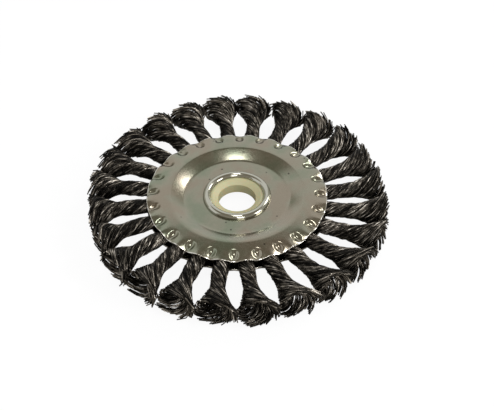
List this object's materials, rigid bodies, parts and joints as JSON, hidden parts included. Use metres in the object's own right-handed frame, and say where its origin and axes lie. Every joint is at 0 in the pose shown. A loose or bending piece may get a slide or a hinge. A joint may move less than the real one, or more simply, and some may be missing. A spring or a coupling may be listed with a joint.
{
  "type": "wire wheel brush",
  "caption": "Twist-knot wire wheel brush with crimped steel face plates, a rolled centre eyelet and a nylon reducer bush, for an angle or bench grinder.",
  "frame": {"origin": "on the arbor axis, midway through the wheel's thickness", "axes": "+Z along the arbor bore, +X through the middle of the first knot"},
  "size_m": [0.1262, 0.1263, 0.015],
  "materials": {
    "plate": "thin bright zinc plating over pressed sheet, with soft reflections",
    "eyelet": "bright zinc plating, polished by the rolling",
    "disc": "plain pressed steel, lightly oiled",
    "bush": "natural nylon, slightly waxy",
    "wire": "dark oil-tempered steel wire with thin glints"
  },
  "bodies": {
    "root": {"holding_disc": "disc", "face_plate_top": "plate", "face_plate_bottom": "plate", "eyelet": "eyelet", "reducer_bush": "bush", "knot_01": "wire", "knot_02": "wire", "knot_03": "wire", "knot_04": "wire", "knot_05": "wire", "knot_06": "wire", "knot_07": "wire", "knot_08": "wire", "knot_09": "wire", "knot_10": "wire", "knot_11": "wire", "knot_12": "wire", "knot_13": "wire", "knot_14": "wire", "knot_15": "wire", "knot_16": "wire", "knot_17": "wire", "knot_18": "wire", "knot_19": "wire", "knot_20": "wire", "knot_21": "wire", "knot_22": "wire", "knot_23": "wire", "knot_24": "wire"}
  },
  "joints": []
}
